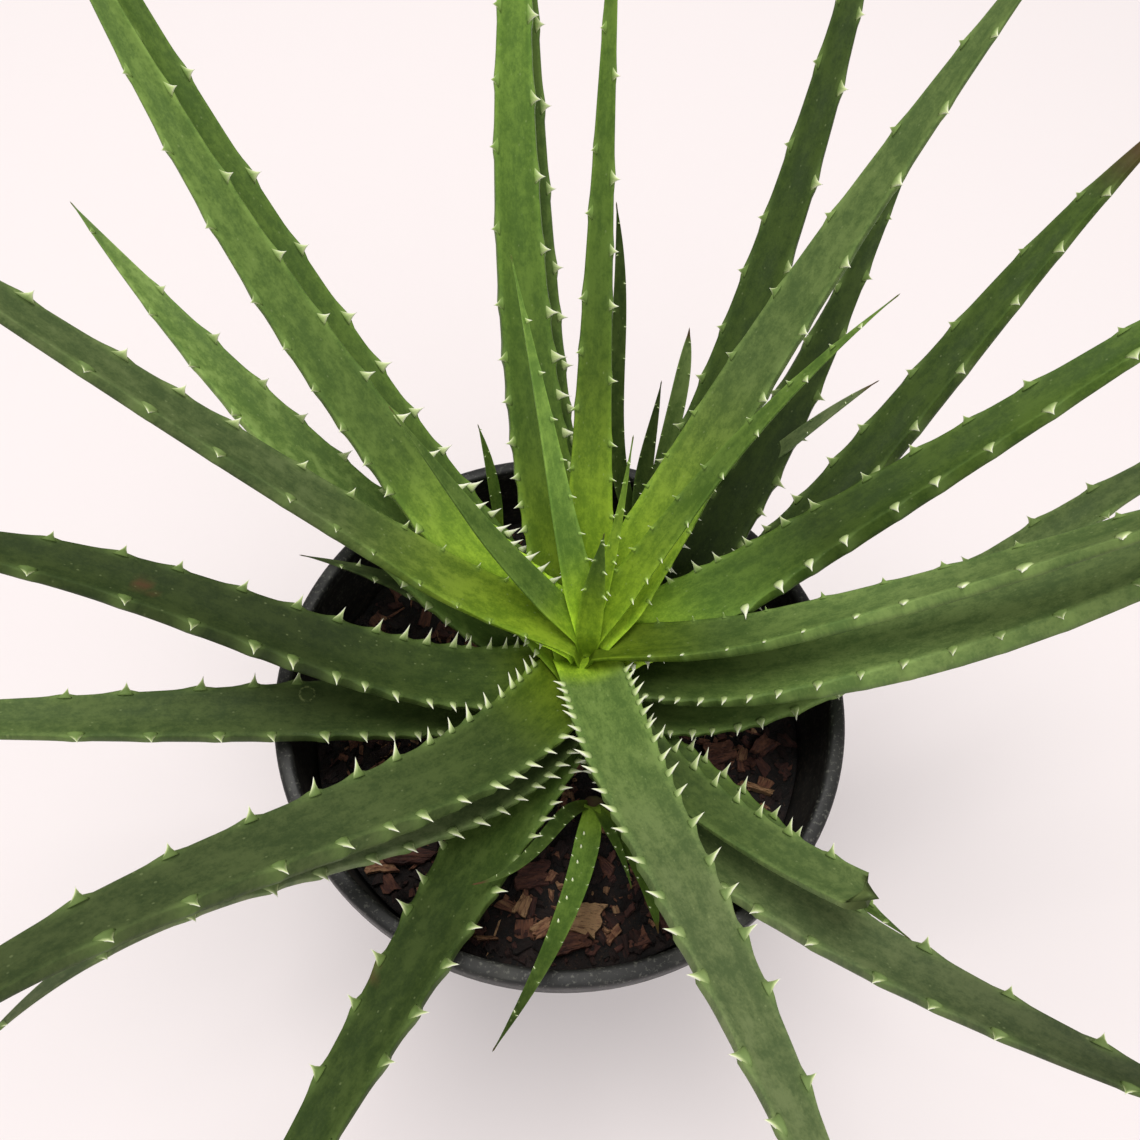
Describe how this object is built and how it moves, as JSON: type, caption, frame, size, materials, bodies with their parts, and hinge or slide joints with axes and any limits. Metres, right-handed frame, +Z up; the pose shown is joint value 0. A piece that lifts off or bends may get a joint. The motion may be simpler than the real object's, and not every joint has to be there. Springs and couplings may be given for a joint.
{
  "type": "potted aloe plant",
  "caption": "Potted aloe: a spreading rosette of long, narrow, spiny-edged succulent leaves with small offsets, in a round black nursery pot of bark-topped soil.",
  "frame": {"origin": "middle of the pot's underside, on the floor", "axes": "+Z up; -Y is the front, the side that the picture was taken from; +X to the right"},
  "size_m": [0.5472, 0.4708, 0.3896],
  "materials": {
    "leaf": null,
    "young_leaf": null,
    "offset_leaf": null,
    "stem": null,
    "soil": null,
    "pot": "thin black moulded plastic, satin, dusty at the lip"
  },
  "bodies": {
    "root": {"stem_main": "stem", "stem_front": "stem", "stem_back": "stem", "stem_back_left": "stem", "leaf_heart": "young_leaf", "leaf_shoot_left": "young_leaf", "leaf_shoot_right": "young_leaf", "leaf_young_back": "young_leaf", "leaf_young_left": "young_leaf", "leaf_young_right": "young_leaf", "leaf_back_right": "leaf", "leaf_right": "leaf", "leaf_left_high": "leaf", "leaf_back_left": "leaf", "leaf_front": "leaf", "leaf_right_high": "leaf", "leaf_back": "leaf", "leaf_back_left_under": "leaf", "leaf_front_left": "leaf", "leaf_right_low": "leaf", "leaf_left": "leaf", "leaf_back_under": "leaf", "leaf_back_right_low": "leaf", "leaf_back_right_far": "leaf", "leaf_right_back": "leaf", "leaf_left_back": "leaf", "leaf_front_right": "leaf", "leaf_front_left_under": "leaf", "leaf_left_low": "leaf", "leaf_right_under": "leaf", "leaf_front_low": "leaf", "leaf_front_right_low": "leaf", "leaf_front_right_under": "leaf", "leaf_left_tuck": "leaf", "offset_front_leaf_broad": "offset_leaf", "offset_front_leaf_steep": "offset_leaf", "offset_front_leaf_left": "offset_leaf", "offset_front_leaf_right": "offset_leaf", "offset_back_leaf_centre": "offset_leaf", "offset_back_leaf_long": "offset_leaf", "offset_back_leaf_short": "offset_leaf", "offset_back_leaf_right": "offset_leaf", "offset_back_left_leaf_single": "offset_leaf", "soil": "soil", "pot": "pot"}
  },
  "joints": []
}
